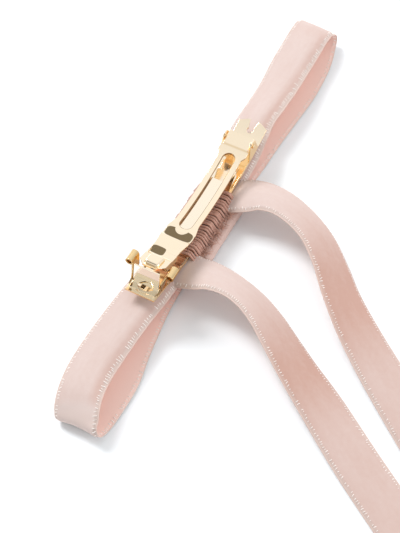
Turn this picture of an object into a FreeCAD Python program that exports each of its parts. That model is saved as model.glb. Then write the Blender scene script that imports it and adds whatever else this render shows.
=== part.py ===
import FreeCAD, Part
import math
import os
import Sketcher
from FreeCAD import Placement, Rotation, Vector

# A velvet ribbon bow sewn to a sprung hair clip, lying on the bow's front.
# Millimetres. Origin: on the clip's centre line under the knot, on the surface the bow lies on.
# +X runs along the clip to its hinge, +Z up, and the ribbon tails leave towards -Y.

DIMS = {
    # small distances: a cutting outline past the piece, and loose pieces off their neighbours
    "past": 1.0, "lay_gap": 0.05,
    # base plate: a shallow arc that rises towards both ends
    "base_radius": 126.0, "base_top": 7.5, "base_thick": 0.6, "base_half": 5.2,
    "base_catch_end": 40.0, "base_tab_end": 40.4, "tab_corner": 39.0, "tab_nose": 2.3,
    "rim_width": 0.45, "rim_rise": 0.7, "rim_from": -31.0, "rim_to": 25.0,
    "keyhole_at": 36.9, "keyhole_radius": 1.15, "keyhole_neck": 0.7, "keyhole_mouth": 1.8,
    # hinge
    "pivot_at": 28.4, "pivot_rise": 16.3, "trunnion_radius": 0.75, "trunnion_end": 5.7,
    "hole_radius": 0.82, "ear_inner": 4.75, "ear_thick": 0.5, "ear_radius": 2.0,
    "ear_from": 25.9, "ear_to": 32.6,
    # clasp bar: a steeper arc over the base plate, from its tip past a crease to its heel
    "bar_radius": 87.0, "bar_centre": 2.7, "bar_centre_rise": 100.1, "bar_thick": 0.6,
    "bar_tip": 33.4, "bar_crease": 25.4, "bar_heel": 30.6, "bar_heel_rise": 17.35,
    # its plan: half-widths, and where along it each one starts or ends
    "tip_half": 2.3, "head_half": 4.5, "dip_half": 5.0, "bar_half": 4.1, "shoulder_half": 5.1,
    "heel_half": 4.5, "tip_corner": 30.9, "head_end": 21.0, "dip_from": 17.0, "dip_to": 12.0,
    "waist_from": 8.0, "waist_to": 21.6, "shoulder_from": 23.2, "shoulder_to": 25.3,
    "slot_half": 2.2, "slot_from": 9.0, "slot_to": 20.6,
    # its cheeks at the hinge and its flanges and pressed shapes at the head
    "cheek_thick": 0.4, "cheek_radius": 1.3, "flange_from": 30.8, "flange_to": 22.9,
    "flange_slant": 0.8, "flange_depth": 2.4, "valley_radius": 4.0, "valley_depth": 0.3,
    "dip_valley": 14.0, "neck_valley": 24.2, "dome_at": 30.0, "dome_half": 2.7,
    "dome_rise": 1.2, "dome_sunk": 0.2, "dome_round": 1.08,
    # tension spring under the bar
    "spring_thick": 0.3, "spring_gap": 0.5, "spring_half": 3.1, "spring_end_half": 1.55,
    "spring_free_end": 18.4, "spring_taper": 15.4, "spring_bend": 12.8, "spring_foot": 19.6,
    "spring_toe": 22.6, "spring_bend_shift": 0.2,
    # catch: a leaning wall with an arch, and a blade with a rolled grip at each side
    "catch_thick": 0.45, "catch_half": 4.45, "wall_foot": 35.6, "wall_top_at": 34.2,
    "wall_top": 20.7, "wall_toe": 38.4, "arch_half": 3.4, "arch_spring": 12.9, "arch_radius": 6.28,
    "arch_centre": 7.62, "wing_inner": 4.8, "wing_foot_rise": 13.5, "wing_foot_from": 37.5,
    "wing_foot_to": 34.6, "wing_mid_rise": 14.6, "wing_mid_from": 35.8, "wing_mid_to": 32.4,
    "wing_neck_rise": 16.5, "wing_neck_from": 35.3, "wing_neck_to": 31.0,
    "curl_radius": 1.35, "curl_bore": 0.85, "curl_out": 7.1, "curl_rise": 18.8,
    "curl_from": 33.4, "curl_length": 4.2,
    # thread and ribbon
    "thread_from": 17.6, "thread_to": 12.6, "thread_thick": 0.75,
    "ribbon_width": 15.0, "ribbon_thick": 1.0,
    "knot_half": 13.6, "knot_front": 10.4, "knot_back": 7.0, "knot_top": 6.0, "knot_round": 0.9,
    "core_gap": 0.1,
    "loop_root": 14.0, "upper_tip": 99.8, "lower_tip": 85.0, "fold_radius": 3.5,
    "root_rise": 4.4, "crown_lift": 2.5, "crown_tilt": 15.0,
}

doc = FreeCAD.newDocument("barrette")
sheet = doc.addObject("Spreadsheet::Sheet", "Dims")
for row, (alias, size) in enumerate(DIMS.items(), start=1):
    sheet.set("A%d" % row, alias)
    sheet.set("B%d" % row, str(size))
    sheet.setAlias("B%d" % row, alias)
doc.recompute()


def value(expression):
    """The number an expression over the sheet's names gives now."""
    result = sheet.evalExpression(bound(expression))
    return float(result.Value if hasattr(result, "Value") else result)


def bound(expression):
    """Write the sheet's name in front of each of its aliases."""
    words = []
    word = ""
    for letter in str(expression) + " ":
        if letter.isalnum() or letter in "_.":
            word += letter
        else:
            words.append("Dims." + word if word in DIMS else word)
            words.append(letter)
            word = ""
    return "".join(words).strip()


def new_body(label):
    body = doc.addObject("PartDesign::Body", label)
    body.Label = label
    body.Placement = Placement()
    return body


def plane_of(body, role):
    for feature in body.Origin.OriginFeatures:
        if feature.Role == role:
            return feature
    raise RuntimeError("no plane " + role)


def new_sketch(body, name, role, offset=None, placement=None):
    """A sketch on one of the body's own planes, moved along the plane's normal by offset."""
    sketch = body.newObject("Sketcher::SketchObject", name)
    sketch.AttachmentSupport = [(plane_of(body, role), "")]
    sketch.MapMode = "FlatFace"
    if placement is not None:
        sketch.AttachmentOffset = placement
    if offset is not None:
        sketch.setExpression(".AttachmentOffset.Base.z", bound(offset))
    doc.recompute()
    return sketch


def bind(sketch, kind, where, expression):
    """One dimension of a sketch, driven by an expression over the sheet."""
    index = sketch.addConstraint(Sketcher.Constraint(kind, *where, value(expression)))
    sketch.setExpression("Constraints[%d]" % index, bound(expression))


def arc_between(start, stop, radius, centre_x, centre_y):
    """The shorter arc between two points, or the left-handed half turn from start to stop."""
    centre = Vector(centre_x, centre_y, 0)
    first, last = start - centre, stop - centre
    if first.cross(last).z < -1e-6:
        first, last = last, first
    circle = Part.Circle(centre, Vector(0, 0, 1), radius)
    return Part.ArcOfCircle(circle, math.atan2(first.y, first.x), math.atan2(last.y, last.x))


def add_outline(sketch, corners, arcs=()):
    """A closed outline. corners are (x, y) expressions; arcs maps a side's number to
    (radius expression, centre x, centre y), and every other side is straight."""
    arcs = dict(arcs)
    points = [Vector(value(x), value(y), 0) for x, y in corners]
    ends = []
    for side, start in enumerate(points):
        stop = points[(side + 1) % len(points)]
        if side in arcs:
            curve = arc_between(start, stop, *[value(term) for term in arcs[side]])
        else:
            curve = Part.LineSegment(start, stop)
        index = sketch.addGeometry(curve, False)
        curve = sketch.Geometry[index]
        forward = curve.StartPoint.distanceToPoint(start) < curve.EndPoint.distanceToPoint(start)
        ends.append((index, 1, 2) if forward else (index, 2, 1))
    for side, (index, first, _) in enumerate(ends):
        before, _, last = ends[side - 1]
        sketch.addConstraint(Sketcher.Constraint("Coincident", before, last, index, first))
        x, y = corners[side]
        bind(sketch, "DistanceX", (index, first), x)
        bind(sketch, "DistanceY", (index, first), y)
        if side in arcs:
            chord = points[(side + 1) % len(points)] - points[side]
            if abs(chord.x) > abs(chord.y):
                bind(sketch, "DistanceY", (index, 3), arcs[side][2])
            else:
                bind(sketch, "DistanceX", (index, 3), arcs[side][1])


def add_circle(sketch, x, y, radius):
    index = sketch.addGeometry(Part.Circle(Vector(value(x), value(y), 0), Vector(0, 0, 1),
                                           value(radius)), False)
    bind(sketch, "DistanceX", (index, 3), x)
    bind(sketch, "DistanceY", (index, 3), y)
    bind(sketch, "Radius", (index,), radius)


def add_box(sketch, left, low, right, high):
    add_outline(sketch, [(left, low), (right, low), (right, high), (left, high)])


def check_sketch(sketch):
    sketch.recompute()
    if "Invalid" in sketch.State or not sketch.Shape.Wires:
        raise RuntimeError(sketch.Name + " did not solve")


def pad(body, sketch, length, both_sides=False):
    check_sketch(sketch)
    feature = body.newObject("PartDesign::Pad", sketch.Name + "Pad")
    feature.Profile = sketch
    feature.setExpression("Length", bound(length))
    feature.Midplane = both_sides
    doc.recompute()
    return feature


def pocket(body, sketch):
    """Cut a sketch right through the body, and make sure that it removed something."""
    before = body.Shape.Volume
    check_sketch(sketch)
    feature = body.newObject("PartDesign::Pocket", sketch.Name + "Pocket")
    feature.Profile = sketch
    feature.Type = "ThroughAll"
    feature.Midplane = True
    doc.recompute()
    if not body.Shape.Volume < before - 1e-6:
        raise RuntimeError(sketch.Name + " cuts nothing")
    return feature


def mirror(body, features, role="XZ_Plane"):
    feature = body.newObject("PartDesign::Mirrored", features[0].Name + "Mirror")
    feature.Originals = features
    feature.MirrorPlane = (plane_of(body, role), [""])
    body.Tip = feature
    doc.recompute()
    return feature


def base_height(x, above="0"):
    """Height of the base plate's top face at x, plus a distance above it."""
    return "base_top + base_radius - sqrt(base_radius ^ 2 - (%s) ^ 2) + %s" % (x, above)


def bar_height(x, below="0"):
    """Height of the clasp bar's top face at x, less a distance below it, on the same centre."""
    return ("bar_centre_rise - sqrt((bar_radius + %s) ^ 2 - (%s - bar_centre) ^ 2)" % (below, x))


def base_strip(sketch, left, right, low, high):
    """The side view of a strip that follows the base plate's arc between two heights."""
    centre = "base_top + base_radius"
    under = "base_radius - (%s)" % low
    over = "base_radius - (%s)" % high
    foot = centre + " - sqrt((%s) ^ 2 - (%s) ^ 2)"
    corners = [(left, foot % (under, left)), (right, foot % (under, right)),
               (right, foot % (over, right)), (left, foot % (over, left))]
    add_outline(sketch, corners, {0: (under, "0", centre), 2: (over, "0", centre)})


# On an XZ sketch the sketch's x is the part's X and its y is the part's Z, and the
# sketch's normal points towards -Y.
def make_base_plate():
    body = new_body("base_plate")
    side = new_sketch(body, "BaseSide", "XZ_Plane")
    base_strip(side, "-base_catch_end", "base_tab_end", "-base_thick", "0")
    pad(body, side, "2 * base_half", True)
    rim = new_sketch(body, "BaseRim", "XZ_Plane", "base_half - rim_width")
    base_strip(rim, "rim_from", "rim_to", "-base_thick / 2", "rim_rise")
    rim_pad = pad(body, rim, "rim_width")
    ear = new_sketch(body, "BaseEar", "XZ_Plane", "ear_inner")
    add_outline(ear, [("ear_from", base_height("ear_from", "-base_thick / 2")),
                      ("ear_to", base_height("ear_to", "-base_thick / 2")),
                      ("pivot_at + ear_radius", "pivot_rise"),
                      ("pivot_at - ear_radius", "pivot_rise")],
                {2: ("ear_radius", "pivot_at", "pivot_rise")})
    ear_pad = pad(body, ear, "ear_thick")
    mirror(body, [rim_pad, ear_pad])
    bore = new_sketch(body, "EarBore", "XZ_Plane")
    add_circle(bore, "pivot_at", "pivot_rise", "hole_radius")
    pocket(body, bore)
    outline = new_sketch(body, "TabTrim", "XY_Plane")
    add_outline(outline, [("tab_corner", "base_half + past"), ("tab_corner", "base_half"),
                          ("base_tab_end", "tab_nose"), ("base_tab_end", "-tab_nose"),
                          ("tab_corner", "-base_half"), ("tab_corner", "-base_half - past"),
                          ("base_tab_end + past", "-base_half - past"),
                          ("base_tab_end + past", "base_half + past")])
    pocket(body, outline)
    keyhole = new_sketch(body, "Keyhole", "XY_Plane")
    add_circle(keyhole, "keyhole_at", "0", "keyhole_radius")
    pocket(body, keyhole)
    slot = new_sketch(body, "KeyholeSlot", "XY_Plane")
    add_outline(slot, [("keyhole_at", "-keyhole_neck"), ("base_tab_end + past", "-keyhole_mouth"),
                       ("base_tab_end + past", "keyhole_mouth"), ("keyhole_at", "keyhole_neck")])
    pocket(body, slot)
    return body


def make_clasp_bar():
    body = new_body("clasp_bar")
    side = new_sketch(body, "BarSide", "XZ_Plane")
    under = "bar_radius + bar_thick"
    add_outline(side, [("-bar_tip", bar_height("-bar_tip", "bar_thick")),
                       ("bar_crease", bar_height("bar_crease", "bar_thick")),
                       ("bar_heel", "bar_heel_rise - bar_thick"), ("bar_heel", "bar_heel_rise"),
                       ("bar_crease", bar_height("bar_crease")),
                       ("-bar_tip", bar_height("-bar_tip"))],
                {0: (under, "bar_centre", "bar_centre_rise"),
                 4: ("bar_radius", "bar_centre", "bar_centre_rise")})
    pad(body, side, "2 * shoulder_half", True)
    # what lies outside the waisted plan is cut away, first on the +Y side
    trim = new_sketch(body, "BarTrim", "XY_Plane")
    far = "shoulder_half + past"
    add_outline(trim, [("bar_heel + past", "heel_half"), ("shoulder_to", "heel_half"),
                       ("shoulder_to", "shoulder_half"), ("shoulder_from", "shoulder_half"),
                       ("waist_to", "bar_half"), ("-waist_from", "bar_half"),
                       ("-dip_to", "dip_half"), ("-dip_from", "dip_half"),
                       ("-head_end", "head_half"), ("-tip_corner", "head_half"),
                       ("-bar_tip", "tip_half"), ("-bar_tip - past", "tip_half"),
                       ("-bar_tip - past", far), ("bar_heel + past", far)])
    mirror(body, [pocket(body, trim)])
    slot = new_sketch(body, "BarSlot", "XY_Plane")
    add_outline(slot, [("-slot_from", "-slot_half"), ("slot_to", "-slot_half"),
                       ("slot_to", "slot_half"), ("-slot_from", "slot_half")],
                {1: ("slot_half", "slot_to", "0"), 3: ("slot_half", "-slot_from", "0")})
    pocket(body, slot)
    for name, at in (("DipValley", "-dip_valley"), ("NeckValley", "-neck_valley")):
        valley = new_sketch(body, name, "XZ_Plane")
        add_circle(valley, at, bar_height(at) + " + valley_radius - valley_depth", "valley_radius")
        pocket(body, valley)
    cheek = new_sketch(body, "BarCheek", "XZ_Plane", "heel_half - cheek_thick")
    add_outline(cheek, [("bar_crease + cheek_thick", bar_height("bar_crease", "bar_thick / 2")),
                        ("pivot_at - cheek_radius", "pivot_rise"),
                        ("pivot_at + cheek_radius", "pivot_rise"),
                        ("bar_heel - cheek_thick", "bar_heel_rise - bar_thick / 2")],
                {1: ("cheek_radius", "pivot_at", "pivot_rise")})
    cheek_pad = pad(body, cheek, "cheek_thick")
    trunnion = new_sketch(body, "BarTrunnion", "XZ_Plane", "heel_half - cheek_thick")
    add_circle(trunnion, "pivot_at", "pivot_rise", "trunnion_radius")
    trunnion_pad = pad(body, trunnion, "trunnion_end - heel_half + cheek_thick")
    flange = new_sketch(body, "HeadFlange", "XZ_Plane", "head_half - cheek_thick")
    low_from, low_to = "-flange_from + flange_slant", "-flange_to - flange_slant"
    add_outline(flange, [("-flange_from", bar_height("-flange_from", "bar_thick / 2")),
                         (low_from, bar_height("(%s)" % low_from, "flange_depth")),
                         (low_to, bar_height("(%s)" % low_to, "flange_depth")),
                         ("-flange_to", bar_height("-flange_to", "bar_thick / 2"))])
    flange_pad = pad(body, flange, "cheek_thick")
    mirror(body, [cheek_pad, trunnion_pad, flange_pad])
    # the pressed dome on the head: a square with rounded corners, tapered and tilted with the bar
    slope = math.degrees(math.asin((value("dome_at") + value("bar_centre")) / value("bar_radius")))
    seat = Vector(-value("dome_at"), 0, value(bar_height("-dome_at") + " - dome_sunk"))
    turn = Rotation(Vector(0, 1, 0), slope)
    dome = new_sketch(body, "HeadDome", "XY_Plane", placement=Placement(seat, turn))
    add_box(dome, "-dome_half", "-dome_half", "dome_half", "dome_half")
    dome_pad = pad(body, dome, "dome_rise + dome_sunk")
    edges = ["Edge%d" % (number + 1) for number, edge in enumerate(body.Shape.Edges)
             if is_dome_edge(edge, seat, turn)]
    fillet = body.newObject("PartDesign::Fillet", "DomeFillet")
    fillet.Base = (dome_pad, edges)
    fillet.setExpression("Radius", "Dims.dome_round")
    doc.recompute()
    return body


def is_dome_edge(edge, seat, turn):
    """Whether an edge belongs to the dome's top or to its four upright corners."""
    middle = turn.inverted().multVec(edge.CenterOfMass - seat)
    half = value("dome_half")
    inside = abs(middle.x) < half + 0.01 and abs(middle.y) < half + 0.01
    return inside and middle.z > value("dome_rise") * 0.5


def make_tension_spring():
    body = new_body("tension_spring")
    side = new_sketch(body, "SpringSide", "XZ_Plane")
    top = "bar_thick + spring_gap"
    low = "bar_thick + spring_gap + spring_thick"
    foot = base_height("spring_foot", "lay_gap")
    toe = base_height("spring_toe", "lay_gap")
    bend = "(spring_bend + spring_bend_shift)"
    add_outline(side, [("-spring_free_end", bar_height("-spring_free_end", low)),
                       ("spring_bend", bar_height("spring_bend", low)),
                       ("spring_foot", foot), ("spring_toe", toe),
                       ("spring_toe", toe + " + spring_thick"),
                       ("spring_foot + spring_bend_shift", foot + " + spring_thick"),
                       (bend, bar_height(bend, top)),
                       ("-spring_free_end", bar_height("-spring_free_end", top))],
                {0: ("bar_radius + " + low, "bar_centre", "bar_centre_rise"),
                 6: ("bar_radius + " + top, "bar_centre", "bar_centre_rise")})
    pad(body, side, "2 * spring_half", True)
    trim = new_sketch(body, "SpringTrim", "XY_Plane")
    add_outline(trim, [("-spring_taper", "spring_half"), ("-spring_free_end", "spring_end_half"),
                       ("-spring_free_end - past", "spring_end_half"),
                       ("-spring_free_end - past", "spring_half + past"),
                       ("-spring_taper", "spring_half + past")])
    mirror(body, [pocket(body, trim)])
    return body


def make_catch_wall():
    body = new_body("catch_wall")
    side = new_sketch(body, "WallSide", "XZ_Plane")
    add_outline(side, [("-wall_toe", base_height("wall_toe")),
                       ("-wall_foot", base_height("wall_foot")),
                       ("-wall_top_at", "wall_top"), ("-wall_top_at - catch_thick", "wall_top"),
                       ("-wall_foot - catch_thick", base_height("wall_foot + catch_thick", "catch_thick")),
                       ("-wall_toe", base_height("wall_toe", "catch_thick"))])
    pad(body, side, "2 * catch_half", True)
    arch = new_sketch(body, "WallArch", "YZ_Plane")
    add_outline(arch, [("-arch_half", "base_top"), ("arch_half", "base_top"),
                       ("arch_half", "arch_spring"), ("-arch_half", "arch_spring")],
                {2: ("arch_radius", "0", "arch_centre")})
    pocket(body, arch)
    return body


def make_catch_wing(label, side):
    """A waisted blade beside the head, with a rolled finger grip. side is 1 towards +Y."""
    body = new_body(label)
    stem = label.title().replace("_", "")
    # each level: height, where the blade starts and ends along the clip, and its inner face
    levels = [("wing_foot_rise", "-wing_foot_from", "-wing_foot_to", "wing_inner"),
              ("wing_mid_rise", "-wing_mid_from", "-wing_mid_to", "wing_inner"),
              ("wing_neck_rise", "-wing_neck_from", "-wing_neck_to", "wing_inner"),
              ("curl_rise", "-curl_from", "-curl_from + curl_length", "curl_out - curl_radius")]
    sections = []
    for number, (height, left, right, inner) in enumerate(levels):
        section = new_sketch(body, "%sLevel%d" % (stem, number), "XY_Plane", height)
        near = "%s * (%s)" % (side, inner)
        far = "%s * (%s + catch_thick)" % (side, inner)
        low, high = (near, far) if side > 0 else (far, near)
        add_box(section, left, low, right, high)
        sections.append(section)
    blade = body.newObject("PartDesign::AdditiveLoft", label + "_blade")
    blade.Profile = sections[0]
    blade.Sections = sections[1:]
    blade.Ruled = True
    doc.recompute()
    curl = new_sketch(body, stem + "Curl", "YZ_Plane", "-curl_from")
    add_circle(curl, "%s * curl_out" % side, "curl_rise", "curl_radius")
    pad(body, curl, "curl_length")
    bore = new_sketch(body, stem + "Bore", "YZ_Plane")
    add_circle(bore, "%s * curl_out" % side, "curl_rise", "curl_bore")
    pocket(body, bore)
    return body


def make_thread_winding():
    """The sewing thread's winding, as one sleeve around the base plate."""
    body = new_body("thread_winding")
    outer = new_sketch(body, "ThreadOuter", "XZ_Plane")
    base_strip(outer, "-thread_from", "thread_to", "-base_thick - lay_gap - thread_thick",
               "rim_rise + lay_gap + thread_thick")
    pad(body, outer, "2 * (base_half + lay_gap + thread_thick)", True)
    inner = new_sketch(body, "ThreadInner", "XZ_Plane")
    base_strip(inner, "-thread_from - past", "thread_to + past", "-base_thick - lay_gap",
               "rim_rise + lay_gap")
    hollow = body.newObject("PartDesign::Pocket", "ThreadHollow")
    hollow.Profile = inner
    hollow.Type = "Length"
    hollow.setExpression("Length", bound("2 * (base_half + lay_gap)"))
    hollow.Midplane = True
    doc.recompute()
    return body


def make_knot_wrap():
    body = new_body("knot_wrap")
    outer = new_sketch(body, "KnotOuter", "YZ_Plane")
    add_box(outer, "-knot_front", "0", "knot_back", "knot_top")
    pad(body, outer, "2 * knot_half", True)
    inner = new_sketch(body, "KnotInner", "YZ_Plane")
    add_box(inner, "-knot_front + ribbon_thick", "ribbon_thick", "knot_back - ribbon_thick",
            "knot_top - ribbon_thick")
    ring = pocket(body, inner)
    edges = ["Edge%d" % (number + 1) for number, edge in enumerate(body.Shape.Edges)
             if not -value("knot_front") + 0.01 < edge.CenterOfMass.y < value("knot_back") - 0.01
             and abs(edge.Length - 2 * value("knot_half")) < 0.01]
    fillet = body.newObject("PartDesign::Fillet", "KnotFillet")
    fillet.Base = (ring, edges)
    fillet.setExpression("Radius", "Dims.knot_round")
    doc.recompute()
    return body


def make_bow_core():
    """The pinched middle of the loop and tail ribbons, inside the knot."""
    body = new_body("bow_core")
    block = new_sketch(body, "CoreBlock", "YZ_Plane")
    add_box(block, "-knot_front + ribbon_thick + core_gap", "ribbon_thick + core_gap",
            "knot_back - ribbon_thick - core_gap", "knot_top - ribbon_thick - core_gap")
    pad(body, block, "2 * knot_half", True)
    return body


def ribbon_frame(before, after, roll):
    """Turn a section so that its x runs across the ribbon and its z along it.
    roll lifts the edge on the right of the way the ribbon goes."""
    along = (after - before).normalize()
    across = Vector(-along.y, along.x, 0).normalize()
    turn = Rotation(along, -roll)
    across = turn.multVec(across)
    return Rotation(across, along.cross(across), along, "ZXY")


def make_ribbon(label, stations):
    """A ruled strip of ribbon through stations of (centre, roll) or (centre, rotation)."""
    body = new_body(label)
    sections = []
    stem = label.title().replace("_", "")
    for number, (centre, roll) in enumerate(stations):
        if isinstance(roll, Rotation):
            turn = roll
        else:
            before = stations[max(number - 1, 0)][0]
            after = stations[min(number + 1, len(stations) - 1)][0]
            turn = ribbon_frame(before, after, roll)
        section = new_sketch(body, "%sSection%d" % (stem, number), "XY_Plane",
                             placement=Placement(centre, turn))
        add_box(section, "-ribbon_width / 2", "-ribbon_thick / 2", "ribbon_width / 2",
                "ribbon_thick / 2")
        sections.append(section)
    strip = body.newObject("PartDesign::AdditiveLoft", label + "_strip")
    strip.Profile = sections[0]
    strip.Sections = sections[1:]
    strip.Ruled = True
    doc.recompute()
    return body


def loop_stations(tip, side, bottom_sway, top_sway):
    """Out along the surface, round the end fold and back over the top to the knot.
    side is 1 towards +X; the sways are how far each layer's middle has drifted in Y at the tip."""
    root, radius = value("loop_root"), value("fold_radius")
    flat = value("ribbon_thick / 2 + lay_gap")
    fold_x = tip - radius - value("ribbon_thick") / 2
    stations = []

    def section(x, y, z, heading, tilt):
        # heading 0 goes outwards, 180 comes back; tilt lifts the -Y edge
        turn_up = Rotation(Vector(0, -side, 0), heading)
        along = turn_up.multVec(Vector(side, 0, 0))
        across = Rotation(along, side * math.copysign(tilt, -math.cos(math.radians(heading)))
                          ).multVec(Vector(0, 1, 0))
        stations.append((Vector(side * x, y, z), Rotation(across, along.cross(across), along, "ZXY")))

    for share in (0.0, 0.5, 1.0):
        section(root + (fold_x - root) * share, bottom_sway * share, flat, 0, 0)
    for heading in (45, 90, 135):
        angle = math.radians(heading)
        drift = bottom_sway + (top_sway - bottom_sway) * heading / 180
        section(fold_x + radius * math.sin(angle), drift, flat + radius * (1 - math.cos(angle)),
                heading, 0)
    tip_rise = flat + 2 * radius
    for share in (1.0, 0.8, 0.6, 0.35, 0.15, 0.0):
        # the crown is the top layer's bulge between its two ends, highest past the middle
        crown = math.sin(math.pi * min(share * 1.25, 1) / 2) * math.sqrt(
            math.sin(math.pi * (1 - share) / 2))
        rise = value("root_rise") + (tip_rise - value("root_rise")) * share
        section(root + (fold_x - root) * share, top_sway * share,
                rise + value("crown_lift") * crown, 180, value("crown_tilt") * crown)
    return stations


# Each tail: its middle line and how far the edge on the catch's side is rolled up, from the
# knot to the cut end.
UPPER_TAIL = [((14.6, -8.7, 7.6), 0), ((17.3, -18.8, 8.6), 15), ((15.2, -29.3, 7.8), 26),
              ((11.4, -37.3, 6.7), 30), ((4.6, -45.2, 5.2), 33), ((-4.0, -52.9, 4.6), 30),
              ((-12.6, -62.7, 3.1), 17), ((-22.7, -75.2, 1.5), 6), ((-36.8, -93.4, 0.6), 0),
              ((-51.0, -111.0, 0.6), 0)]
LOWER_TAIL = [((-20.8, -9.2, 7.7), 3), ((-19.4, -15.6, 7.9), 22), ((-20.0, -22.4, 8.0), 29),
              ((-21.6, -29.8, 7.6), 31), ((-25.1, -36.9, 6.5), 30), ((-29.8, -44.0, 5.2), 27),
              ((-35.7, -52.9, 3.7), 20), ((-42.8, -64.3, 2.0), 9), ((-56.0, -83.4, 0.8), 1),
              ((-74.0, -110.8, 0.6), 0)]


def tail_stations(points):
    return [(Vector(*centre), roll) for centre, roll in points]


def build():
    return [
        make_base_plate(), make_clasp_bar(), make_tension_spring(), make_catch_wall(),
        make_catch_wing("catch_wing_left", 1), make_catch_wing("catch_wing_right", -1),
        make_thread_winding(), make_knot_wrap(), make_bow_core(),
        make_ribbon("loop_upper", loop_stations(value("upper_tip"), 1, 1.3, 3.0)),
        make_ribbon("loop_lower", loop_stations(value("lower_tip"), -1, -4.0, 0.8)),
        make_ribbon("tail_upper", tail_stations(UPPER_TAIL)),
        make_ribbon("tail_lower", tail_stations(LOWER_TAIL)),
    ]


def check_and_export(nodes):
    doc.recompute()
    for thing in doc.Objects:
        if "Invalid" in thing.State or "Error" in thing.State:
            raise RuntimeError("failed: %s %s" % (thing.Label, thing.State))
    for node in nodes:
        if node.Shape.isNull() or not node.Shape.isValid() or not node.Shape.Solids:
            raise RuntimeError("bad shape: " + node.Label)
    os.makedirs("parts", exist_ok=True)
    for node in nodes:
        node.Shape.exportStep("parts/%s.step" % node.Label)
        box = node.Shape.BoundBox
        print("%-18s %8.1f mm3  X %.1f..%.1f  Y %.1f..%.1f  Z %.1f..%.1f" % (
            node.Label, node.Shape.Volume, box.XMin, box.XMax, box.YMin, box.YMax,
            box.ZMin, box.ZMax))


check_and_export(build())
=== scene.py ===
import math
import random

import bmesh
import bpy
from mathutils import Matrix, Vector, noise


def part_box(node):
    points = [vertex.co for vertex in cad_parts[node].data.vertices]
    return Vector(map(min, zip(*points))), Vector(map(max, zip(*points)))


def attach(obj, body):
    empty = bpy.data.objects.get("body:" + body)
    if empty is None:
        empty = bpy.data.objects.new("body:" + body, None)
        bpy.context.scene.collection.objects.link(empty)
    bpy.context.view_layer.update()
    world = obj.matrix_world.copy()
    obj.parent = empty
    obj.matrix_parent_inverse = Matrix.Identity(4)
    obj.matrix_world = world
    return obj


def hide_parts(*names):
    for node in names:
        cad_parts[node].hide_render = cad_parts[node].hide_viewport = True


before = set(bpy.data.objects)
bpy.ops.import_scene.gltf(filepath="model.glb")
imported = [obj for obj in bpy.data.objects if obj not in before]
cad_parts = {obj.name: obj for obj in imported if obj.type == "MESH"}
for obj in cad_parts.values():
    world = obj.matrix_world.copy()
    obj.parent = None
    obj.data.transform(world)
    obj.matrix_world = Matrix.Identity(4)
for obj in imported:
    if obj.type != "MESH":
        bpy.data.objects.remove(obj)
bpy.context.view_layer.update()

# The looks of a velvet ribbon bow on a sprung hair clip, lying on the bow's front.
# Lengths are in millimetres until a mesh is made, as in the model's own source.
MM = 0.001
random.seed(11)

# ---------------------------------------------------------------- ribbon sizes
RIBBON_HALF = 7.5          # half the ribbon's width
PILE_HALF = 0.42           # half the thickness where the pile is
SELVEDGE_HALF = 0.20       # half the thickness of the woven edge
PILE_EDGE = 6.4            # the pile stops this far from the middle
STEP = 0.7                 # length of one row of the ribbon's mesh
RUNG_PITCH = 1.0           # mean spacing of the edge stitches
RUNG_RADIUS = 0.13
RUNGS_KEPT = 0.85          # share of the stitches that show
ROOT_WIDTH = 0.85          # how narrow a loop is gathered where it enters the knot
ROOT_FROM, ROOT_TO = 24, 4             # the gathering grows between these distances from a loop's end
HINGE_SIDE, CATCH_SIDE = 1, -1         # a loop is on one of these sides, and a tail on neither
LOOP_SLANT = {HINGE_SIDE: 0.13, CATCH_SIDE: -0.03}     # how far each loop's fold runs out towards +Y

# ---------------------------------------------------------------- ribbon routes
# Bow loops: out along the surface, round the end and back over the top.
# (x, y, z, tilt): the middle of the ribbon and how far its -Y edge is tilted up, in degrees.
UPPER_LOOP = [
    (13, 0.3, 0.75, 0), (29, -0.2, 0.55, 0), (44, -0.4, 0.55, 0), (58, -1.1, 0.55, 0),
    (72, -1.7, 0.55, 0), (86, -0.6, 0.55, 0), (94.2, 1.3, 0.8, 0), (98.5, 2.3, 2.3, 1),
    (99.2, 2.9, 4.4, 3), (97.0, 3.2, 6.6, 6), (92, 3.1, 7.9, 8), (85, 2.8, 8.4, 10),
    (75, 2.5, 8.6, 14), (64, 1.9, 8.6, 21), (54, 2.0, 8.4, 24), (46, 2.3, 8.1, 25),
    (38, 1.8, 7.3, 19), (30, 1.0, 6.2, 11), (21, 0.4, 5.2, 4), (13, 0, 4.6, 0)]
LOWER_LOOP = [
    (-13, 0.4, 0.75, 0), (-23, 0.6, 0.55, 0), (-34, 0.5, 0.55, 0), (-44, -0.8, 0.55, 0),
    (-53, -2.2, 0.55, 0), (-63, -4.1, 0.55, 0), (-73, -4.3, 0.55, 0), (-79.4, -4.0, 0.8, 0),
    (-83.0, -3.5, 2.3, 1), (-83.5, -2.6, 4.4, 4), (-81.4, -1.5, 6.6, 9), (-77, 0.1, 7.9, 12),
    (-69, 1.6, 8.4, 12), (-58, 1.8, 8.5, 10), (-46, 1.5, 8.2, 10), (-37, 1.1, 7.4, 9),
    (-29, 0.7, 6.4, 6), (-21, 0.4, 5.3, 2), (-13, 0, 4.6, 0)]
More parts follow.
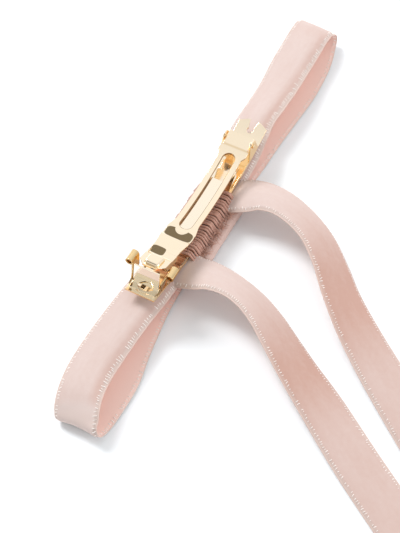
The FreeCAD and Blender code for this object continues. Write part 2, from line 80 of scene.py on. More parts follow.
# Tails: from under the clip to the cut end; the last number rolls up the edge on the catch's side.
UPPER_TAIL = [
    (12.6, 1.5, 5.6, 0), (13.6, -4.2, 6.1, 0), (14.9, -9.6, 7.5, 5), (16.7, -15.0, 8.6, 12),
    (17.1, -21.6, 8.6, 19), (15.3, -29.4, 7.8, 25), (11.4, -37.4, 6.7, 29),
    (4.6, -45.4, 5.2, 30), (-3.9, -53.4, 3.8, 25), (-12.9, -63.2, 2.4, 15),
    (-23.2, -76.0, 1.1, 6), (-36.8, -93.4, 0.6, 1), (-51.0, -111.0, 0.6, 0)]
LOWER_TAIL = [
    (-20.6, 1.5, 5.9, 0), (-20.6, -4.2, 6.2, 0), (-20.3, -9.4, 7.2, 8), (-19.5, -15.6, 8.0, 20),
    (-19.8, -22.6, 8.1, 28), (-21.6, -29.8, 7.6, 31), (-25.0, -37.0, 6.5, 30),
    (-29.7, -44.2, 5.1, 26), (-35.6, -53.1, 3.4, 19), (-42.8, -64.4, 1.8, 9),
    (-56.0, -83.4, 0.7, 1), (-74.0, -110.8, 0.6, 0)]


# ---------------------------------------------------------------- small tools
def smooth(low, high, x):
    """0 at low and beyond, 1 at high and beyond, and an S-curve between."""
    t = min(max((x - low) / (high - low), 0.0), 1.0)
    return t * t * (3 - 2 * t)


def spline(stations, step):
    """Points every step along a smooth curve through the stations, whatever numbers they hold."""
    rows = [Vector(s) for s in stations]
    first, last = rows[0] * 2 - rows[1], rows[-1] * 2 - rows[-2]
    rows = [first] + rows + [last]
    knots = [0.0]
    for a, b in zip(rows, rows[1:]):
        knots.append(knots[-1] + math.sqrt((b.xyz - a.xyz).length))
    fine = []
    for k in range(1, len(rows) - 2):
        for part in range(40):
            fine.append(barry_goldman(rows[k - 1:k + 3], knots[k - 1:k + 3], part / 40))
    fine.append(rows[-2])
    lengths = [0.0]
    for a, b in zip(fine, fine[1:]):
        lengths.append(lengths[-1] + (b.xyz - a.xyz).length)
    count = max(2, round(lengths[-1] / step))
    points, at = [], 0
    for number in range(count + 1):
        want = lengths[-1] * number / count
        while at < len(fine) - 2 and lengths[at + 1] < want:
            at += 1
        share = (want - lengths[at]) / (lengths[at + 1] - lengths[at])
        points.append(fine[at].lerp(fine[at + 1], share))
    return points, lengths[-1]


def barry_goldman(p, t, share):
    """One point of a centripetal Catmull-Rom curve between its two middle points."""
    at = t[1] + (t[2] - t[1]) * share

    def mix(a, b, low, high):
        return a * ((high - at) / (high - low)) + b * ((at - low) / (high - low))

    a1, a2, a3 = (mix(p[k], p[k + 1], t[k], t[k + 1]) for k in range(3))
    b1, b2 = mix(a1, a2, t[0], t[2]), mix(a2, a3, t[1], t[3])
    return mix(b1, b2, t[1], t[2])


class Build:
    """Collects vertices and faces in millimetres, with a place on the cloth for each vertex."""

    def __init__(self):
        self.points, self.faces, self.cut, self.painted_light = [], [], [], []

    def ring(self, points, cut=None, painted_light=None):
        """Adds a ring of vertices and gives their numbers."""
        start = len(self.points)
        self.points += points
        self.cut += cut or [(0.0, 0.0, 0.0)] * len(points)
        self.painted_light += painted_light or [0.3] * len(points)
        return list(range(start, start + len(points)))

    def join(self, a, b):
        """Faces between two rings of the same length."""
        for k in range(len(a)):
            n = (k + 1) % len(a)
            self.faces.append((a[k], a[n], b[n], b[k]))

    def tube(self, path, radius, sides, taper=False):
        """A closed tube along a path, thinner towards its end where it tapers."""
        rings = []
        previous = None
        for k, point in enumerate(path):
            along = (path[min(k + 1, len(path) - 1)] - path[max(k - 1, 0)]).normalized()
            if previous is None:
                previous = along.orthogonal().normalized()
            across = (previous - along * previous.dot(along)).normalized()
            previous = across
            other = along.cross(across)
            r = radius * (1 - 0.6 * k / (len(path) - 1)) if taper else radius
            turns = [2 * math.pi * s / sides for s in range(sides)]
            rings.append(self.ring([point + (across * math.cos(a) + other * math.sin(a)) * r
                                    for a in turns]))
        for a, b in zip(rings, rings[1:]):
            self.join(a, b)
        self.faces.append(tuple(reversed(rings[0])))
        self.faces.append(tuple(rings[-1]))

    def piece(self, name, material):
        """The object itself, riding on the bow, with its faces turned outwards."""
        mesh = bpy.data.meshes.new(name)
        mesh.from_pydata([p * MM for p in self.points], [], self.faces)
        layer = mesh.attributes.new("cut", "FLOAT_VECTOR", "POINT")
        layer.data.foreach_set("vector", [c for row in self.cut for c in row])
        # the velvet's second attribute carries painted sheen and shade
        mesh.attributes.new("painted_light", "FLOAT", "POINT").data.foreach_set("value", self.painted_light)
        mesh.materials.append(material)
        mesh.polygons.foreach_set("use_smooth", [True] * len(mesh.polygons))
        solid = bmesh.new()
        solid.from_mesh(mesh)
        bmesh.ops.recalc_face_normals(solid, faces=solid.faces)
        solid.to_mesh(mesh)
        solid.free()
        thing = bpy.data.objects.new(name, mesh)
        bpy.context.scene.collection.objects.link(thing)
        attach(thing, "bow")
        return thing


# ---------------------------------------------------------------- materials
class Nodes:
    """A short way to write a node tree. A keyword such as Value or _0 names a socket to fill, by
    its name or its number, with a constant or with another node's output."""

    def __init__(self, name):
        self.material = bpy.data.materials.new(name)
        self.material.use_nodes = True
        self.tree = self.material.node_tree
        self.shader = self.tree.nodes["Principled BSDF"]

    def add(self, kind, settings=(), **sockets):
        node = self.tree.nodes.new(kind)
        for key, content in dict(settings).items():
            setattr(node, key, content)
        for key, content in sockets.items():
            self.put(node.inputs[int(key[1:])] if key[1:].isdigit() else node.inputs[key], content)
        return node

    def put(self, socket, content):
        if isinstance(content, bpy.types.NodeSocket):
            self.tree.links.new(content, socket)
        else:
            socket.default_value = content

    def math(self, operation, a, b=0.0, clamp=False):
        node = self.add("ShaderNodeMath", {"operation": operation, "use_clamp": clamp}, _0=a, _1=b)
        return node.outputs[0]

    def mix(self, share, a, b):
        return self.add("ShaderNodeMix", {"data_type": "RGBA"}, _0=share, _6=a, _7=b).outputs[2]

    def noise(self, vector, scale, detail=2.0, roughness=0.5):
        node = self.add("ShaderNodeTexNoise", Vector=vector, Scale=scale, Detail=detail,
                        Roughness=roughness)
        return node.outputs[0]

    def scaled(self, vector, factors):
        return self.add("ShaderNodeVectorMath", {"operation": "MULTIPLY"}, _0=vector, _1=factors).outputs[0]

    def split(self, vector):
        """The x, y and z of a vector."""
        return self.add("ShaderNodeSeparateXYZ", _0=vector).outputs

    def position(self):
        """Where the surface's point is, in metres."""
        return self.add("ShaderNodeNewGeometry").outputs["Position"]

    def away(self, content, middle):
        """How far a number is from the middle, whichever the side."""
        return self.math("ABSOLUTE", self.math("SUBTRACT", content, middle))

    def step(self, content, zero_at, one_at):
        """0 at zero_at and beyond, 1 at one_at and beyond, and an S-curve between."""
        node = self.add("ShaderNodeMapRange", {"interpolation_type": "SMOOTHSTEP"}, Value=content)
        node.inputs["From Min"].default_value = zero_at
        node.inputs["From Max"].default_value = one_at
        return node.outputs[0]

    def bump(self, height, strength, distance):
        return self.add("ShaderNodeBump", Strength=strength, Distance=distance, Height=height).outputs[0]


def colour(r, g, b):
    """A linear colour with full alpha, from the 0 to 255 values it is read as on a screen."""
    def linear(c):
        c /= 255
        return c / 12.92 if c <= 0.04045 else ((c + 0.055) / 1.055) ** 2.4
    return (linear(r), linear(g), linear(b), 1.0)


def velvet_material():
    """Pile between two woven edges. 'cut' holds the place across and along the cloth in
    millimetres, and 1 on the side that faces into a loop. The other attribute is painted sheen
    and shade: 0 where the pile is painted pale, as sheen shows it, 1 where it is painted in its
    deepest shade, and below 0 where a fold is painted lighter, as if more light fell on it."""
    n = Nodes("velvet")
    cut = n.add("ShaderNodeAttribute", {"attribute_name": "cut"}).outputs["Vector"]
    painted_light = n.add("ShaderNodeAttribute", {"attribute_name": "painted_light"}).outputs["Fac"]
    sideways, _, inner = n.split(cut)
    across = n.math("ABSOLUTE", sideways)
    # the pile's border wanders, and on the inside of a loop the pile reaches further out
    wander = n.math("MULTIPLY", n.noise(n.scaled(cut, (0.0, 0.9, 1.0)), 1.0, 3.0), 0.5)
    reach = n.math("SUBTRACT", wander, n.math("MULTIPLY", inner, 0.8))
    woven = n.step(n.math("ADD", across, reach), PILE_EDGE, PILE_EDGE + 0.6)
    brushed = n.noise(n.scaled(cut, (0.22, 0.04, 1.0)), 1.0, 3.0, 0.5)
    crushed = n.noise(n.scaled(cut, (0.7, 0.5, 1.0)), 1.0, 3.0)
    mottle = n.math("SUBTRACT", n.math("ADD", brushed, n.math("MULTIPLY", crushed, 0.6)), 0.8)
    # painted sheen and shade, with random mottle: the pale pink where the pile is painted lit by sheen, the
    # deep pink where it is painted in shade
    painted_light_and_mottle = n.math("ADD", painted_light, n.math("MULTIPLY", mottle, 0.42), True)
    pile = n.mix(painted_light_and_mottle, colour(207, 192, 187), colour(185, 151, 139))
    # painted light: where a fold is painted lighter, the pile turns toward a pale pink
    pile = n.mix(n.math("MULTIPLY", painted_light, -1.0, True), pile, colour(242, 220, 210))
    # the side that faces into a loop in a paler pink: partly the cloth back's own colour, partly painted
    # light standing in for light that comes through the cloth
    pile = n.mix(inner, pile, colour(243, 213, 203))
    fibres = n.noise(n.scaled(cut, (4.2, 4.2, 1.0)), 1.0, 2.0, 0.6)
    pile = n.mix(n.math("MULTIPLY", fibres, 0.16), pile, colour(168, 122, 110))
    ribs = n.add("ShaderNodeTexWave", {"wave_type": "BANDS", "bands_direction": "Y"}, Vector=cut,
                 Scale=0.95, Distortion=0.6).outputs[1]
    weave = n.mix(ribs, colour(188, 168, 160), colour(206, 189, 181))
    weave = n.mix(n.math("MULTIPLY", painted_light_and_mottle, 0.6), weave, pile)
    # a paler border at the cloth's very edge: partly its fuzz, partly painted light against the shade on
    # the cloth's side wall
    fringe_and_painted_light = n.step(across, RIBBON_HALF - 0.45, RIBBON_HALF - 0.05)
    weave = n.mix(n.math("MULTIPLY", fringe_and_painted_light, 0.5), weave, colour(222, 198, 188))
    n.put(n.shader.inputs["Base Color"], n.mix(woven, pile, weave))
    n.shader.inputs["Roughness"].default_value = 0.92
    n.shader.inputs["Specular IOR Level"].default_value = 0.12
    n.shader.inputs["Sheen Weight"].default_value = 0.16
    n.shader.inputs["Sheen Roughness"].default_value = 0.42
    n.shader.inputs["Sheen Tint"].default_value = colour(255, 236, 230)
    height = n.mix(woven, fibres, ribs)
    n.put(n.shader.inputs["Normal"], n.bump(height, 0.35, 0.10 * MM))
    return n.material


def stitch_material():
    n = Nodes("edge_stitches")
    place = n.position()
    tone = n.noise(place, 900.0, 2.0)
    n.put(n.shader.inputs["Base Color"], n.mix(tone, colour(226, 214, 207), colour(252, 248, 245)))
    n.shader.inputs["Roughness"].default_value = 0.8
    n.shader.inputs["Specular IOR Level"].default_value = 0.2
    n.put(n.shader.inputs["Normal"], n.bump(n.noise(place, 6000.0), 0.3, 0.03 * MM))
    return n.material


def thread_material():
    n = Nodes("sewing_thread")
    place = n.position()
    tone = n.noise(place, 420.0, 3.0)
    n.put(n.shader.inputs["Base Color"], n.mix(tone, colour(158, 110, 92), colour(208, 162, 144)))
    n.shader.inputs["Roughness"].default_value = 0.6
    n.shader.inputs["Sheen Weight"].default_value = 0.35
    n.put(n.shader.inputs["Normal"], n.bump(n.noise(place, 5200.0, 3.0), 0.5, 0.05 * MM))
    return n.material


def gold_material(name, pale, deep, roughness, relief=False):
    """Plated gold: a mirror with faint rolling marks, softened along its cut edges. Level faces
    are painted paler than the sides, as painted reflection. Relief adds what the bar's mesh leaves
    out: a painted line of shade round its slot, standing for its edge turned down, a painted line
    of shade along the bend up to its heel, and the steep walls in its two pressed valleys as a
    leaned surface direction."""
    n = Nodes(name)
    place = n.add("ShaderNodeTexCoord").outputs["Object"]
    smudge = n.noise(place, 160.0, 3.0)
    marks = n.noise(n.scaled(place, (220.0, 3200.0, 900.0)), 1.0, 2.0)
    rounded = n.add("ShaderNodeBevel", {"samples": 6}, Radius=0.16 * MM).outputs[0]
    # painted reflection: level faces get the pale gold and the sides the deep gold
    level = n.step(n.math("ABSOLUTE", n.split(rounded)[2]), 0.15, 0.8)
    gold_with_painted_reflection = n.mix(level, deep, pale)
    n.shader.inputs["Metallic"].default_value = 1.0
    tone = n.mix(n.math("MULTIPLY", smudge, 0.12), gold_with_painted_reflection, deep)
    if relief:
        # painted shade: a dark gold line round the slot
        tone = n.mix(painted_slot_shade(n), tone, colour(160, 112, 48))
        # painted shade: a darker cream line where the bar bends up to its heel
        tone = n.mix(n.math("MULTIPLY", painted_crease_shade(n), 0.7), tone, colour(232, 204, 162))
    n.put(n.shader.inputs["Base Color"], tone)
    rough = n.add("ShaderNodeMapRange", Value=smudge)
    rough.inputs["From Min"].default_value = 0.3
    rough.inputs["From Max"].default_value = 0.7
    rough.inputs["To Min"].default_value = roughness * 0.7
    rough.inputs["To Max"].default_value = roughness * 1.3
    n.put(n.shader.inputs["Roughness"], rough.outputs[0])
    if relief:
        rounded = pressed_walls(n, rounded)
    bump = n.add("ShaderNodeBump", Strength=0.05, Distance=0.02 * MM, Height=marks, Normal=rounded)
    n.put(n.shader.inputs["Normal"], bump.outputs[0])
    return n.material


# Each pressed wall on the bar: its middle along the clip and across it, half its length and width,
# and the radius of the round boss that cuts into its hinge side.
PRESSED_WALLS = [(-14.2, 0.0, 2.3, 4.7, 2.3), (-24.2, 1.9, 1.8, 2.4, 0.0)]
WALL_LEAN = 33                         # how steep a pressed wall is, in degrees
SLOT_ENDS, SLOT_HALF = (-9.0, 20.6), 2.2       # the bar's slot, between the middles of its round ends
SLOT_SHADE_WIDTH, SLOT_SHADE_BLUR = 0.10, 0.06           # how wide the painted line of shade round the slot is, and how softly it ends
CREASE_AT, CREASE_HALF = 25.4, 0.7     # where the bar bends up to its heel, and half the width of the painted line of shade there


def painted_slot_shade(n):
    """1 on the painted line of shade round the bar's slot, standing for its edge turned down."""
    along, across, _ = n.split(n.position())
    low, high = SLOT_ENDS
    past_end = n.math("SUBTRACT", n.away(along, (low + high) / 2 * MM), (high - low) / 2 * MM)
    past_end = n.math("MAXIMUM", past_end, 0.0)
    squares = n.math("ADD", n.math("POWER", past_end, 2.0), n.math("POWER", across, 2.0))
    edge = SLOT_HALF + SLOT_SHADE_WIDTH
    return n.step(n.math("SQRT", squares), (edge + SLOT_SHADE_BLUR) * MM, (edge - SLOT_SHADE_BLUR) * MM)


def painted_crease_shade(n):
    """1 along the line where the bar bends up to its heel, painted there as a line of shade."""
    return n.step(n.away(n.split(n.position())[0], CREASE_AT * MM), CREASE_HALF * MM, 0.0)


def pressed_walls(n, normal):
    """The surface's direction, leaned back inside each pressed wall."""
    at = n.split(n.position())
    lean = math.radians(WALL_LEAN)
    leaned = n.add("ShaderNodeCombineXYZ", _0=-math.sin(lean), _1=0.0, _2=math.cos(lean)).outputs[0]
    above = n.math("GREATER_THAN", n.split(normal)[2], 0.6)
    for middle, aside, half_long, half_wide, boss in PRESSED_WALLS:
        # a square with rounded corners, where the fourth powers add up to 1
        sides = []
        for part, centre, half in ((0, middle, half_long), (1, aside, half_wide)):
            sides.append(n.math("POWER", n.math("DIVIDE", n.away(at[part], centre * MM), half * MM), 4.0))
        share = n.math("MULTIPLY", n.step(n.math("ADD", *sides), 1.15, 0.85), above)
        if boss:
            from_boss = n.away(at[0], (middle + half_long + 0.3) * MM)
            squares = n.math("ADD", n.math("POWER", from_boss, 2.0),
                             n.math("POWER", n.math("ABSOLUTE", at[1]), 2.0))
            share = n.math("MULTIPLY", share, n.math("GREATER_THAN", squares, (boss * MM) ** 2))
        mixed = n.add("ShaderNodeMix", {"data_type": "VECTOR"}, _0=share, _4=normal, _5=leaned)
        normal = n.add("ShaderNodeVectorMath", {"operation": "NORMALIZE"}, _0=mixed.outputs[1]).outputs[0]
    return normal


# ---------------------------------------------------------------- ribbon
class Ribbon:
    """A route with a frame at every row: the middle, the way across and the way out of the face.
    loop is the loop's side, or 0 for a tail, and arch(height, share) says how the section bends."""

    def __init__(self, stations, loop, arch):
        rows, self.length = spline(stations, STEP)
        self.rows = []
        middles = [Vector(row[:3]) for row in rows]
        for k, row in enumerate(rows):
            along = (middles[min(k + 1, len(rows) - 1)] - middles[max(k - 1, 0)]).normalized()
            tilt = math.radians(row[3])
            if loop:
                share = k / len(rows)
                slant = LOOP_SLANT[loop] * smooth(0.30, 0.45, share) * smooth(0.70, 0.55, share)
                across = Vector((loop * slant, math.cos(tilt), -math.sin(tilt)))
                across = (across - along * across.dot(along)).normalized()
                out = along.cross(across) if loop < 0 else across.cross(along)
            else:
                level = Vector((-along.y, along.x, 0)).normalized()
                across = Matrix.Rotation(-tilt, 3, along) @ -level
                out = across.cross(along)
            self.rows.append((middles[k], across, out, arch(row[2], k / (len(rows) - 1))))
        self.loop = loop

    def place(self, row, across, height):
        """The point at a distance across from the middle of a row, and at a height over the cloth."""
        middle, side, out, (bow, curl) = self.rows[row]
        if self.loop:
            root = min(row, len(self.rows) - 1 - row) * STEP
            gathered = 1 - (1 - ROOT_WIDTH) * smooth(ROOT_FROM, ROOT_TO, root)
            middle = middle - Vector((0, 0.4 * (1 - gathered) * RIBBON_HALF, 0))
            across = across * gathered
        share = across / RIBBON_HALF
        fall = share * share * (0.45 if self.loop and share > 0 else 1.0)
        rise = bow * (1 - fall) - curl * smooth(0.45, 1.0, -share) - 0.2 * smooth(0.8, 1.0, abs(share))
        inward = 1 - 0.6 * (bow / RIBBON_HALF) ** 2
        return middle + side * across * inward + out * (rise + height)


def half_thickness(across):
    """Half the cloth's thickness, thinner on the woven edge and thinnest at its very end."""
    share = smooth(PILE_EDGE - 0.2, PILE_EDGE + 0.5, abs(across))
    edge = smooth(RIBBON_HALF - 0.5, RIBBON_HALF, abs(across))
    return (PILE_HALF + (SELVEDGE_HALF - PILE_HALF) * share) * (1 - 0.45 * edge)


def cloth_piece(name, ribbon, painted_light, velvet):
    """The velvet, as a closed strip with an outer and an inner face."""
    # lines of the mesh across half the ribbon, closer together at the pile's border and the edge
    stops = [0, 1.5, 3.0, 4.3] + [PILE_EDGE - back for back in (1.2, 0.7, 0.35, 0)]
    stops += [RIBBON_HALF - back for back in (0.7, 0.4, 0.15, 0)]
    stops = [-stop for stop in reversed(stops[1:])] + stops
    build = Build()
    rings = []
    for row in range(len(ribbon.rows)):
        along = row * STEP
        outer, inner = [], []
        for across in stops:
            thick = half_thickness(across)
            fuzz = 0.05 * noise.noise(Vector((across * 0.9, along * 0.5, 3.0)))
            outer.append((ribbon.place(row, across, thick + fuzz), (across, along, 0.0)))
            inner.append((ribbon.place(row, across, -thick + fuzz), (across, along, 1.0)))
        ring = outer + inner[::-1]
        # each vertex gets its painted sheen and shade
        rings.append(build.ring([point for point, _ in ring], [cut for _, cut in ring],
                                [painted_light(cut[0], along, ribbon.length) for _, cut in ring]))
    for a, b in zip(rings, rings[1:]):
        build.join(a, b)
    build.faces.append(tuple(reversed(rings[0])))
    build.faces.append(tuple(rings[-1]))
    return build.piece(name, velvet)


def edging_piece(name, ribbon, stitches):
    """The stitches over the pile's border, along both edges and on both faces: short bars that
    differ in lean, place, length and thickness, with some left out."""
    edging = Build()
    # one bar: how far past the border, and how high over the cloth's middle
    outline = [(past, half_thickness(PILE_EDGE + past) + rise) for past, rise in (
        (-0.3, -0.03), (-0.05, 0.03), (0.25, 0.03), (0.5, -0.03))]
    shortest, longest, thickest = (0.6, 1.5, 1.3) if ribbon.loop else (0.4, 1.1, 1.1)
    for side in (-1, 1):
        for face in (-1, 1):
            at = RUNG_PITCH / 2
            while at < ribbon.length - RUNG_PITCH / 2:
                lean = random.uniform(-0.4, 0.4)
                aside = random.uniform(-0.22, 0.18)
                stretch = random.uniform(shortest, longest)
                path = []
                for past, height in outline:
                    beyond = past * stretch + aside
                    here = min((at + lean * beyond) / STEP, len(ribbon.rows) - 1.001)
                    row = int(here)
                    a, b = (ribbon.place(k, side * (PILE_EDGE + beyond), face * height)
                            for k in (row, row + 1))
                    path.append(a.lerp(b, here - row))
                if random.random() < RUNGS_KEPT:
                    edging.tube(path, RUNG_RADIUS * random.uniform(0.75, thickest), 5)
                at += RUNG_PITCH * random.uniform(0.7, 1.3)
    return edging.piece(name, stitches)


def ribbon_pieces(node, ribbon, painted_light, velvet, stitches, held):
    """A ribbon in place of one of the model's nodes, with its edge stitches as a second piece."""
    name = "ribbon_" + node
    cloth = cloth_piece(name, ribbon, painted_light, velvet)
    rungs = edging_piece(name + "_stitches", ribbon, stitches)
    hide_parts(node)


# ---------------------------------------------------------------- knot and thread
def rounded_box(count, half_y, half_z, roundness_y, roundness_z):
    """Points round a box with soft corners, as (y, z) from its middle."""
    points = []
    for k in range(count):
        angle = 2 * math.pi * k / count
        y = math.copysign(abs(math.cos(angle)) ** roundness_y, math.cos(angle)) * half_y
        z = math.copysign(abs(math.sin(angle)) ** roundness_z, math.sin(angle)) * half_z
        points.append((y, z))
    return points


def knot_piece(velvet):
    """The band of ribbon round the bow's middle, with soft folds along its way round."""
    low, high = [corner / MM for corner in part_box("knot_wrap")]
    half_x, half_y, centre_y, top = high.x, (high.y - low.y) / 2, (high.y + low.y) / 2, high.z - 0.15
    middle = top / 2
    around = [(y, z + middle) for y, z in rounded_box(96, half_y, middle, 0.38, 0.5)]
    thickness, lift, columns = 0.9, 0.02, 44
    build = Build()
    rings = []
    for outer in (True, False):
        for column in range(columns + 1) if outer else range(columns, -1, -1):
            share = column / columns * 2 - 1
            x = share * half_x
            ring, cut = [], []
            for k, (y, z) in enumerate(around):
                out = Vector((0, y / half_y, (z - middle) / middle)).normalized()
                rise = -thickness
                if outer:
                    rise = 0.09 * math.sin(x * 0.62 + 0.8 * math.sin(k * 0.13) + 0.4)
                    rise += 0.14 * noise.noise(Vector((x * 0.22, y * 0.25, z * 0.3)))
                    rise -= 0.5 * smooth(0.86, 1.0, abs(share)) + 0.3
                ring.append(Vector((x, centre_y + y + out.y * rise, max(z + out.z * rise, lift))))
                # painted shade: the band's pile is given a deeper tone than a loop's top, and mixes in a
                # quarter of the colour of the side into a loop
                cut.append((share * 5.2, k * 0.5, 0.25))
            rings.append(build.ring(ring, cut, [0.55] * len(ring)))
    for a, b in zip(rings, rings[1:] + rings[:1]):
        build.join(b, a)
    knot = build.piece("knot_band", velvet)
    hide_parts("knot_wrap", "bow_core")
    length = sum((Vector(b) - Vector(a)).length for a, b in zip(around, around[1:] + around[:1]))


def core_piece(velvet):
    """The gathered layers inside the knot, seen at its two ends."""
    low, high = [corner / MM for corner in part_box("bow_core")]
    centre = (low + high) / 2
    around = rounded_box(48, (high.y - low.y) / 2 - 0.4, 1.7, 0.4, 0.5)
    inset, columns = 0.6, 12
    build = Build()
    rings = []
    for column in range(columns + 1):
        x = low.x + inset + (high.x - low.x - 2 * inset) * column / columns
        ring = [Vector((x, centre.y + y, centre.z + z)) for y, z in around]
        rings.append(build.ring(ring, [(0.0, k * 0.4, 1.0) for k in range(len(ring))]))
    for a, b in zip(rings, rings[1:]):
        build.join(b, a)
    build.faces.append(tuple(rings[0]))
    build.faces.append(tuple(reversed(rings[-1])))
    build.piece("gathered_core", velvet)


BASE_RADIUS, BASE_LOW, BASE_THICK = 126.0, 7.5, 0.6    # the base plate's arc, as in the model
RIM_RISE = 0.7
THREAD_TURNS, LOOSE_ENDS = 25, 210


def base_top(x):
    """Height of the base plate's top face at x, from its own arc."""
    return BASE_LOW + BASE_RADIUS - math.sqrt(BASE_RADIUS * BASE_RADIUS - x * x)


def thread_pieces(material):
    """Turns of sewing thread round the base plate, their feet worked into the knot on either side,
    and loose ends along the -Y side."""
    low, high = [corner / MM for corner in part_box("thread_winding")]
    margin = 0.45
    pitch = (high.x - low.x - 2 * margin) / THREAD_TURNS
    build = Build()
    for turn in range(THREAD_TURNS):
        x = low.x + margin + pitch * (turn + 0.5)
        slant = random.uniform(-0.5, 0.1)
        for strand in range(random.choice((1, 1, 2))):
            shift = 0.55 * strand + random.uniform(-0.14, 0.14)
            rise = base_top(x)
            over = rise + RIM_RISE + 0.32 + random.uniform(0.0, 0.25)
            lowest = rise - BASE_THICK - 3.35
            foot = random.uniform(4.9, 5.7)
            outline = [(-8.1, foot - 0.6), (-7.4, foot + 0.3), (-6.5, rise - 0.9), (-5.75, rise + 0.3),
                       (-5.1, over), (-2.5, over - 0.22), (0.0, over - 0.3), (2.5, over - 0.22),
                       (5.1, over), (5.75, rise + 0.2), (6.3, rise - 0.9), (6.9, foot + 0.2),
                       (7.4, foot - 0.8)]
            path = []
            for y, z in outline:
                lean = slant * (y + 5) / 10 + 0.12 * noise.noise(Vector((x * 3, y, strand * 5.0)))
                path.append(Vector((x + shift + lean, y, max(z, lowest))))
            fine, _ = spline(path, 0.7)
            build.tube(fine, random.uniform(0.36, 0.45) - 0.14 * strand, 8)
    winding = build.piece("thread_turns", material)
    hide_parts("thread_winding")

    fluff = Build()
    for _ in range(LOOSE_ENDS):
        x = random.uniform(low.x + 0.5, high.x - 0.3)
        start = Vector((x, random.uniform(-9.0, -6.9), random.uniform(5.6, 6.6)))
        way = Vector((random.uniform(-1, 1), random.uniform(-1.0, 0.3), random.uniform(0.0, 0.9)))
        way.normalize()
        bend = Vector((random.uniform(-1, 1), random.uniform(-0.7, 0.5), random.uniform(-0.8, 0.2)))
        length = random.uniform(0.9, 2.2)
        path = [start + way * (length * t) + bend * (length * 0.6 * t * t) for t in (0, .25, .5, .75, 1)]
        fluff.tube(path, random.uniform(0.12, 0.2), 5, taper=True)
    fluff.piece("thread_ends", material)


# ---------------------------------------------------------------- stage, camera, light
CAMERA_TURN = math.radians(62.17)      # from +Y towards +X, the level way the camera looks
CAMERA_FALL = math.radians(54.97)      # how steeply it looks down
CAMERA_DISTANCE = 440.27
CAMERA_TARGET = Vector((-13.06, -7.13, 0))
CAMERA_LENS = 90.8                     # on a 36 mm sensor along the picture's long side


def add_camera():
    level = Vector((math.sin(CAMERA_TURN), math.cos(CAMERA_TURN), 0))
    right = Vector((math.cos(CAMERA_TURN), -math.sin(CAMERA_TURN), 0))
    look = level * math.cos(CAMERA_FALL) - Vector((0, 0, math.sin(CAMERA_FALL)))
    up = right.cross(look)
    data = bpy.data.cameras.new("camera")
    data.lens, data.sensor_width, data.sensor_fit = CAMERA_LENS, 36.0, "AUTO"
    data.clip_start, data.clip_end = 0.01, 20.0
    camera = bpy.data.objects.new("camera", data)
    turn = Matrix((right, up, -look)).transposed().to_4x4()
    camera.matrix_world = Matrix.Translation((CAMERA_TARGET - look * CAMERA_DISTANCE) * MM) @ turn
    bpy.context.scene.collection.objects.link(camera)
    bpy.context.scene.camera = camera


def add_floor():
    mesh = bpy.data.meshes.new("floor")
    half, z = 4.0, -0.00006            # metres; a hair under the surface that the bow lies on
    mesh.from_pydata([(-half, -half, z), (half, -half, z), (half, half, z), (-half, half, z)], [],
                     [(0, 1, 2, 3)])
    n = Nodes("floor")
    n.shader.inputs["Base Color"].default_value = colour(241, 245, 248)
    n.shader.inputs["Roughness"].default_value = 0.9
    n.shader.inputs["Specular IOR Level"].default_value = 0.1
    mesh.materials.append(n.material)
    floor = bpy.data.objects.new("floor", mesh)
    bpy.context.scene.collection.objects.link(floor)


def add_area_light(name, place, target, size, energy):
    data = bpy.data.lights.new(name, "AREA")
    data.shape, data.size, data.energy = "DISK", size, energy
    light = bpy.data.objects.new(name, data)
    light.location = place
    light.rotation_euler = (Vector(target) - Vector(place)).to_track_quat("-Z", "Y").to_euler()
    bpy.context.scene.collection.objects.link(light)


def add_light():
    add_area_light("key", (0.30, 0.95, 1.05), (0, -0.02, 0), 0.62, 15.6)
    add_area_light("fill", (0.15, -1.20, 0.42), (0, 0, 0), 0.8, 7.0)
    world = bpy.data.worlds.new("studio")
    bpy.context.scene.world = world
    world.use_nodes = True
    tree = world.node_tree
    background = tree.nodes["Background"]
    way = tree.nodes.new("ShaderNodeTexCoord").outputs["Generated"]

    def towards(direction):
        """How far the way into the studio points in a direction, up to 1."""
        node = tree.nodes.new("ShaderNodeVectorMath")
        node.operation = "DOT_PRODUCT"
        node.inputs[1].default_value = Vector(direction).normalized()
        tree.links.new(way, node.inputs[0])
        return node.outputs["Value"]

    # the studio has a dark patch overhead on the catch's side, which the gold mirrors
    ramp = tree.nodes.new("ShaderNodeValToRGB")
    ramp.color_ramp.elements[0].position, ramp.color_ramp.elements[1].position = 0.970, 0.988
    ramp.color_ramp.elements[0].color = (1.0, 1.0, 1.0, 1)
    ramp.color_ramp.elements[1].color = (0.30, 0.26, 0.19, 1)
    tree.links.new(towards((-0.50, 0.22, 0.84)), ramp.inputs[0])
    # and is brightest high up beyond the hinge
    glow = tree.nodes.new("ShaderNodeMapRange")
    glow.inputs["From Min"].default_value, glow.inputs["From Max"].default_value = 0.45, 0.9
    glow.inputs["To Min"].default_value, glow.inputs["To Max"].default_value = 0.72, 1.02
    tree.links.new(towards((0.75, 0.27, 0.60)), glow.inputs[0])
    tree.links.new(ramp.outputs[0], background.inputs[0])
    tree.links.new(glow.outputs[0], background.inputs[1])


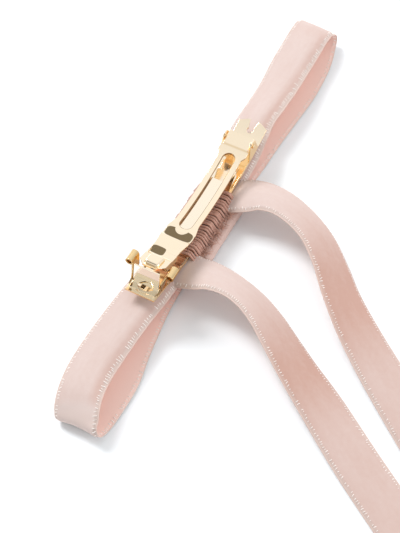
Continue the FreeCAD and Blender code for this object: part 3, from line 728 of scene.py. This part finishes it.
# ---------------------------------------------------------------- the object
def paint_metal():
    pale, deep = (1.0, 0.87, 0.68, 1.0), (0.97, 0.66, 0.30, 1.0)
    gold = gold_material("gold_plating", pale, deep, 0.07)
    pressed = gold_material("gold_pressed", pale, deep, 0.07, relief=True)
    satin = gold_material("gold_spring", (1.0, 0.89, 0.74, 1.0), deep, 0.13)
    # painted reflection: the wall's sides are painted nearly as pale as its level faces, and the wings in a
    # dark gold
    wall = gold_material("gold_wall", pale, (1.0, 0.95, 0.82, 1.0), 0.07)
    wing = gold_material("gold_wing", (0.88, 0.66, 0.36, 1.0), (0.50, 0.28, 0.08, 1.0), 0.10)
    for name, metal in (("base_plate", gold), ("clasp_bar", pressed), ("catch_wall", wall),
                        ("catch_wing_left", wing), ("catch_wing_right", wing),
                        ("tension_spring", satin)):
        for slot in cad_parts[name].material_slots:
            slot.material = metal


def loop_arch(_, share):
    """How far a loop's section is bowed, and how far its -Y edge rolls down: only on the top layer."""
    top = smooth(0.46, 0.60, share)
    return 1.3 * top, 1.1 * smooth(0.52, 0.64, share)


def tail_arch(height, _):
    """A tail's section is bowed more where it stands off the surface, and its edges don't roll."""
    return 0.35 + 0.5 * smooth(2.0, 8.0, height), 0.0


def loop_painted_light(painted_fold_light):
    """Painted sheen and shade on a loop: pale on top and deeper on the lower layer, with a painted
    band of shade beside the top's -Y edge, where the cloth rolls away from the light. At the fold
    it is painted lighter by the given measure, and below 0 darker instead."""
    def painted_light(across, along, length):
        share = along / length
        top = smooth(0.5, 0.58, share)
        # painted shade in a band beside the top's -Y edge
        painted_channel_shade = smooth(-7.0, -6.3, across) * smooth(-3.4, -5.4, across)
        fold = smooth(0.43, 0.48, share) * smooth(0.56, 0.51, share)
        return (0.14 + 0.42 * top * painted_channel_shade + 0.35 * (1 - top)) * (1 - fold) - painted_fold_light * fold
    return painted_light


def tail_painted_light(paler_from):
    """Painted sheen and shade along a tail: pale by the clip, deepest halfway along, and a little paler
    again on to the cut end.
    """
    def painted_light(across, along, length):
        return 0.08 + 0.92 * smooth(16, 62, along) - 0.56 * smooth(paler_from, paler_from + 32, along)
    return painted_light


def make_object():
    velvet = velvet_material()
    stitches = stitch_material()
    for node, route, loop, arch, painted_light, held in (
            ("loop_upper", UPPER_LOOP, HINGE_SIDE, loop_arch, loop_painted_light(-0.1), "folded"),
            ("loop_lower", LOWER_LOOP, CATCH_SIDE, loop_arch, loop_painted_light(0.3), "folded"),
            ("tail_upper", UPPER_TAIL, 0, tail_arch, tail_painted_light(66), "laid"),
            ("tail_lower", LOWER_TAIL, 0, tail_arch, tail_painted_light(56), "laid")):
        ribbon_pieces(node, Ribbon(route, loop, arch), painted_light, velvet, stitches, held)
    knot_piece(velvet)
    core_piece(velvet)
    thread_pieces(thread_material())
    paint_metal()


bpy.context.scene.view_settings.view_transform = "Standard"
add_camera()
add_floor()
add_light()
make_object()
